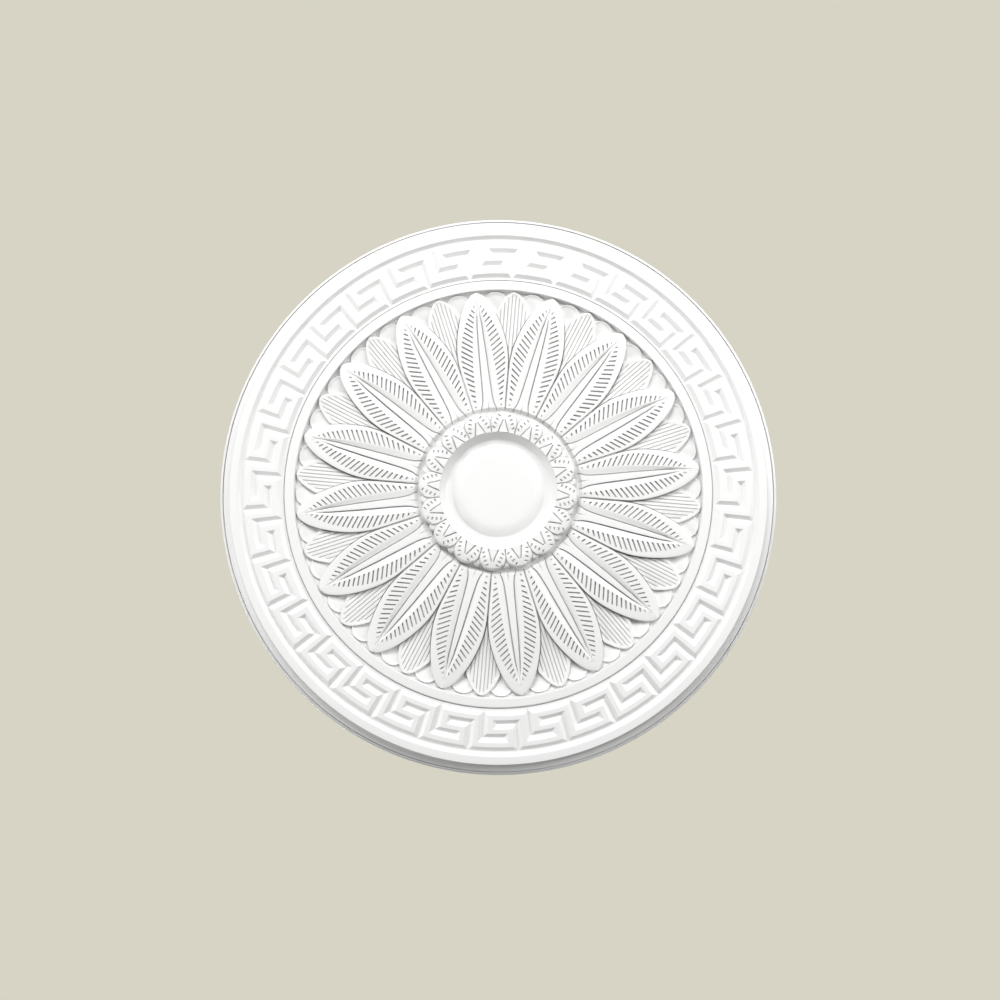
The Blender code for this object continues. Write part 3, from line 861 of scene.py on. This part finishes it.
def hub_column(side):
    """Points from the hub's outer wall over a leaf and the hollow to the boss: radius, drop, painted
    shade.
    """
    edge = leaf_edge(side)
    radii = mix(edge, leaf_foot, np.linspace(0, 1, leaf_rows))
    top = list(zip(radii, *leaf_drop(radii, side)))
    column = [
        (edge + hub_wall_slope, hub_wall_foot_drop, hub_wall_shade[0]),
        (edge + hub_wall_bend, top[0][1] - hub_wall_bend_drop, hub_wall_shade[1]),
        *top,
    ]
    column += [(leaf_foot - inwards, drop, 0.0) for inwards, drop in inner_rim]
    hollow = rounded([
        (leaf_foot, inner_slope_drop, 0), (boss_hollow_outer, boss_hollow_drop, 1.4),
        (boss_hollow_inner, boss_hollow_drop, 0.8), (boss_edge, boss_edge_drop, 0),
    ])
    column += [(*place, 0.0) for place in hollow[1:]]
    for part in np.linspace(boss_first_row, 0, boss_rows):
        rise = (boss_drop - boss_edge_drop) * (1 - part ** boss_curve)
        column.append((mix(boss_flat, boss_edge, part), boss_edge_drop + rise, 0.0))
    return column + [(boss_middle, boss_drop, 0.0)]


def hub_mesh():
    """Points and faces of the hub: the columns of one leaf repeated round it, and a middle point."""
    sides = np.linspace(-1, 1, leaf_columns + 1)[:-1]
    columns = [hub_column(side) for side in sides]
    points, faces = [], []
    for leaf in range(petals):
        for side, column in zip(sides, columns):
            angle = (leaf + 0.5) * petal_pitch + side * leaf_half_pitch
            cos, sin = math.cos(angle), math.sin(angle)
            points += [(radius * cos, radius * sin, drop, painted_shade) for radius, drop, painted_shade in column]
    rows = len(columns[0])
    total = leaf_columns * petals
    middle = len(points)
    points.append((0.0, 0.0, boss_drop, 0.0))
    for j in range(total):
        near, far = j * rows, (j + 1) % total * rows
        faces += [(near + i, near + i + 1, far + i + 1, far + i) for i in range(rows - 1)]
        faces.append((near + rows - 1, middle, far + rows - 1))
    return points, faces


mesh_piece("hub", *hub_mesh(), white, sharp_degrees=40)

# A plain pale floor far below and a plain pale backdrop above and all round, of matt card.
# The camera looks up at the rose, so the backdrop is what shows around it. Both glow by themselves,
# so that they are evenly bright from every side, and light nothing else.
stage_reach = 15.0
stage_low = -2.6
stage_high = 3.2
stage_corners = [
    (x, y, z) for z in (stage_low, stage_high)
    for x, y in (
        (-stage_reach, -stage_reach), (stage_reach, -stage_reach),
        (stage_reach, stage_reach), (-stage_reach, stage_reach),
    )
]


def stage_board(name, faces, colour):
    """Sides of the box that closes the stage, of card that glows in one even colour."""
    mesh = bpy.data.meshes.new(name)
    mesh.from_pydata(stage_corners, [], faces)
    board = bpy.data.objects.new(name, mesh)
    bpy.context.scene.collection.objects.link(board)
    card = bpy.data.materials.new("matt card of the " + name)
    card.use_nodes = True
    shader = card.node_tree.nodes["Principled BSDF"]
    shader.inputs["Base Color"].default_value = linear("#000000")
    shader.inputs["Roughness"].default_value = 0.9
    shader.inputs["Specular IOR Level"].default_value = 0.0
    shader.inputs["Emission Color"].default_value = linear(colour)
    shader.inputs["Emission Strength"].default_value = 1.0
    mesh.materials.append(card)
    board.visible_diffuse = False
    board.visible_glossy = False


stage_board("floor", [(0, 1, 2, 3)], "#DCD9CD")
stage_board("backdrop", [(4, 5, 6, 7), (0, 1, 5, 4), (1, 2, 6, 5), (2, 3, 7, 6), (3, 0, 4, 7)],
            "#D7D4C5")

# Soft studio light: large lamps below the rose, the strongest on the side of the picture's top
# left and low enough to throw the mouldings' own shadows, the others to its right and left.
# One more lamp above lights the flat back. The even world light stands for light off the floor.
picture_top = math.radians(-83.5)
world_light = 0.13


def picture_direction(clockwise_degrees):
    """Direction along the ceiling of an angle in the picture, clockwise from its top."""
    angle = picture_top + math.radians(clockwise_degrees)
    return Vector((math.cos(angle), math.sin(angle), 0.0))


def soft_lamp(name, clockwise, from_below, away, size, power):
    """A round lamp aimed at the rose, set by its angle in the picture and from straight below."""
    slope = math.radians(from_below)
    data = bpy.data.lights.new(name, "AREA")
    data.shape = "DISK"
    data.size = size
    data.energy = power
    lamp = bpy.data.objects.new(name, data)
    out = picture_direction(clockwise) * math.sin(slope) * away
    lamp.location = out - Vector((0, 0, math.cos(slope) * away))
    lamp.rotation_euler = (-lamp.location).to_track_quat("-Z", "Y").to_euler()
    lamp.visible_camera = False
    bpy.context.scene.collection.objects.link(lamp)


soft_lamp("key_lamp", clockwise=341, from_below=47, away=2.35, size=1.1, power=42.0)
soft_lamp("right_lamp", clockwise=50, from_below=42, away=2.0, size=1.2, power=18.0)
soft_lamp("low_right_lamp", clockwise=75, from_below=66, away=2.0, size=0.9, power=11.0)
soft_lamp("low_left_lamp", clockwise=250, from_below=68, away=2.0, size=0.9, power=15.0)
soft_lamp("back_lamp", clockwise=200, from_below=150, away=2.2, size=1.5, power=62.0)
world = bpy.data.worlds.new("studio")
world.use_nodes = True
world.node_tree.nodes["Background"].inputs["Color"].default_value = (1, 1, 1, 1)
world.node_tree.nodes["Background"].inputs["Strength"].default_value = world_light
bpy.context.scene.world = world
bpy.context.scene.view_settings.view_transform = "Standard"

# The camera stands under the rose, a little towards the picture's bottom, and looks up at it.
# It is near enough to give the photo's perspective, and aims at the level of the edge's fillet.
distance = 0.7527
tilt = math.radians(3.2)
aim = Vector((0, 0, DOWN * fillet_drop))
toward_top = picture_direction(0)
forward = Vector((0, 0, 1)) * math.cos(tilt) + toward_top * math.sin(tilt)
right = forward.cross(toward_top).normalized()
upward = right.cross(forward).normalized()
camera_data = bpy.data.cameras.new("camera")
camera_data.lens = 25.2
camera_data.sensor_width = 36.0
camera_data.shift_x = 0.0017
camera_data.shift_y = -0.0086
camera = bpy.data.objects.new("camera", camera_data)
camera.location = aim - forward * distance
from_axes = np.array((right, upward, -forward)).T
camera.rotation_euler = Matrix(from_axes.tolist()).to_euler()
bpy.context.scene.collection.objects.link(camera)
bpy.context.scene.camera = camera
